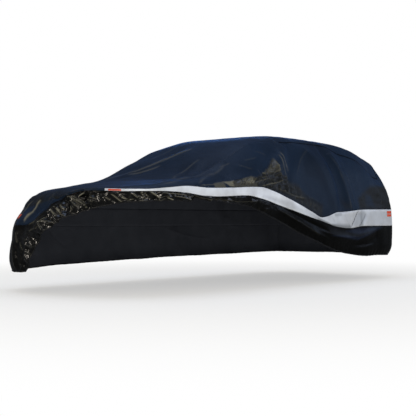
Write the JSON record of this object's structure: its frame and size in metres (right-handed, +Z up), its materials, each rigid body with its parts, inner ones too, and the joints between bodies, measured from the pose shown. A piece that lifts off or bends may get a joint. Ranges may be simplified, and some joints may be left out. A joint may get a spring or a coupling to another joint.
{
  "type": "fitted car cover",
  "caption": "Fitted cloth cover draped in the shape of a hatchback, with a silver stripe and a black skirt that is lifted and bunched at the front of one side.",
  "frame": {"origin": "the point under the top of the cover, over the middle of the roof, where the cover rests", "axes": "+Z up; nose of the cover towards -Y; the side whose front is lifted towards +X"},
  "size_m": [1.8443, 4.3546, 1.3118],
  "materials": {
    "navy_coated_polyester": "navy coated polyester, soft sheen",
    "silver_reflective_tape": "silver reflective tape, satin",
    "black_coated_polyester": "black coated polyester, low gloss",
    "orange_reflector_plastic": "orange reflector film, glossy"
  },
  "bodies": {
    "root": {"top_panel": "navy_coated_polyester", "side_panel_near": "navy_coated_polyester", "side_panel_far": "navy_coated_polyester", "stripe_near": "silver_reflective_tape", "stripe_far": "silver_reflective_tape", "skirt_front": "black_coated_polyester", "skirt_near": "black_coated_polyester", "skirt_far": "black_coated_polyester", "skirt_rear": "black_coated_polyester", "reflector_front_near": "orange_reflector_plastic", "reflector_front_far": "orange_reflector_plastic", "reflector_rear_near_1": "orange_reflector_plastic", "reflector_rear_near_2": "orange_reflector_plastic", "reflector_rear_far_1": "orange_reflector_plastic", "reflector_rear_far_2": "orange_reflector_plastic"}
  },
  "joints": []
}
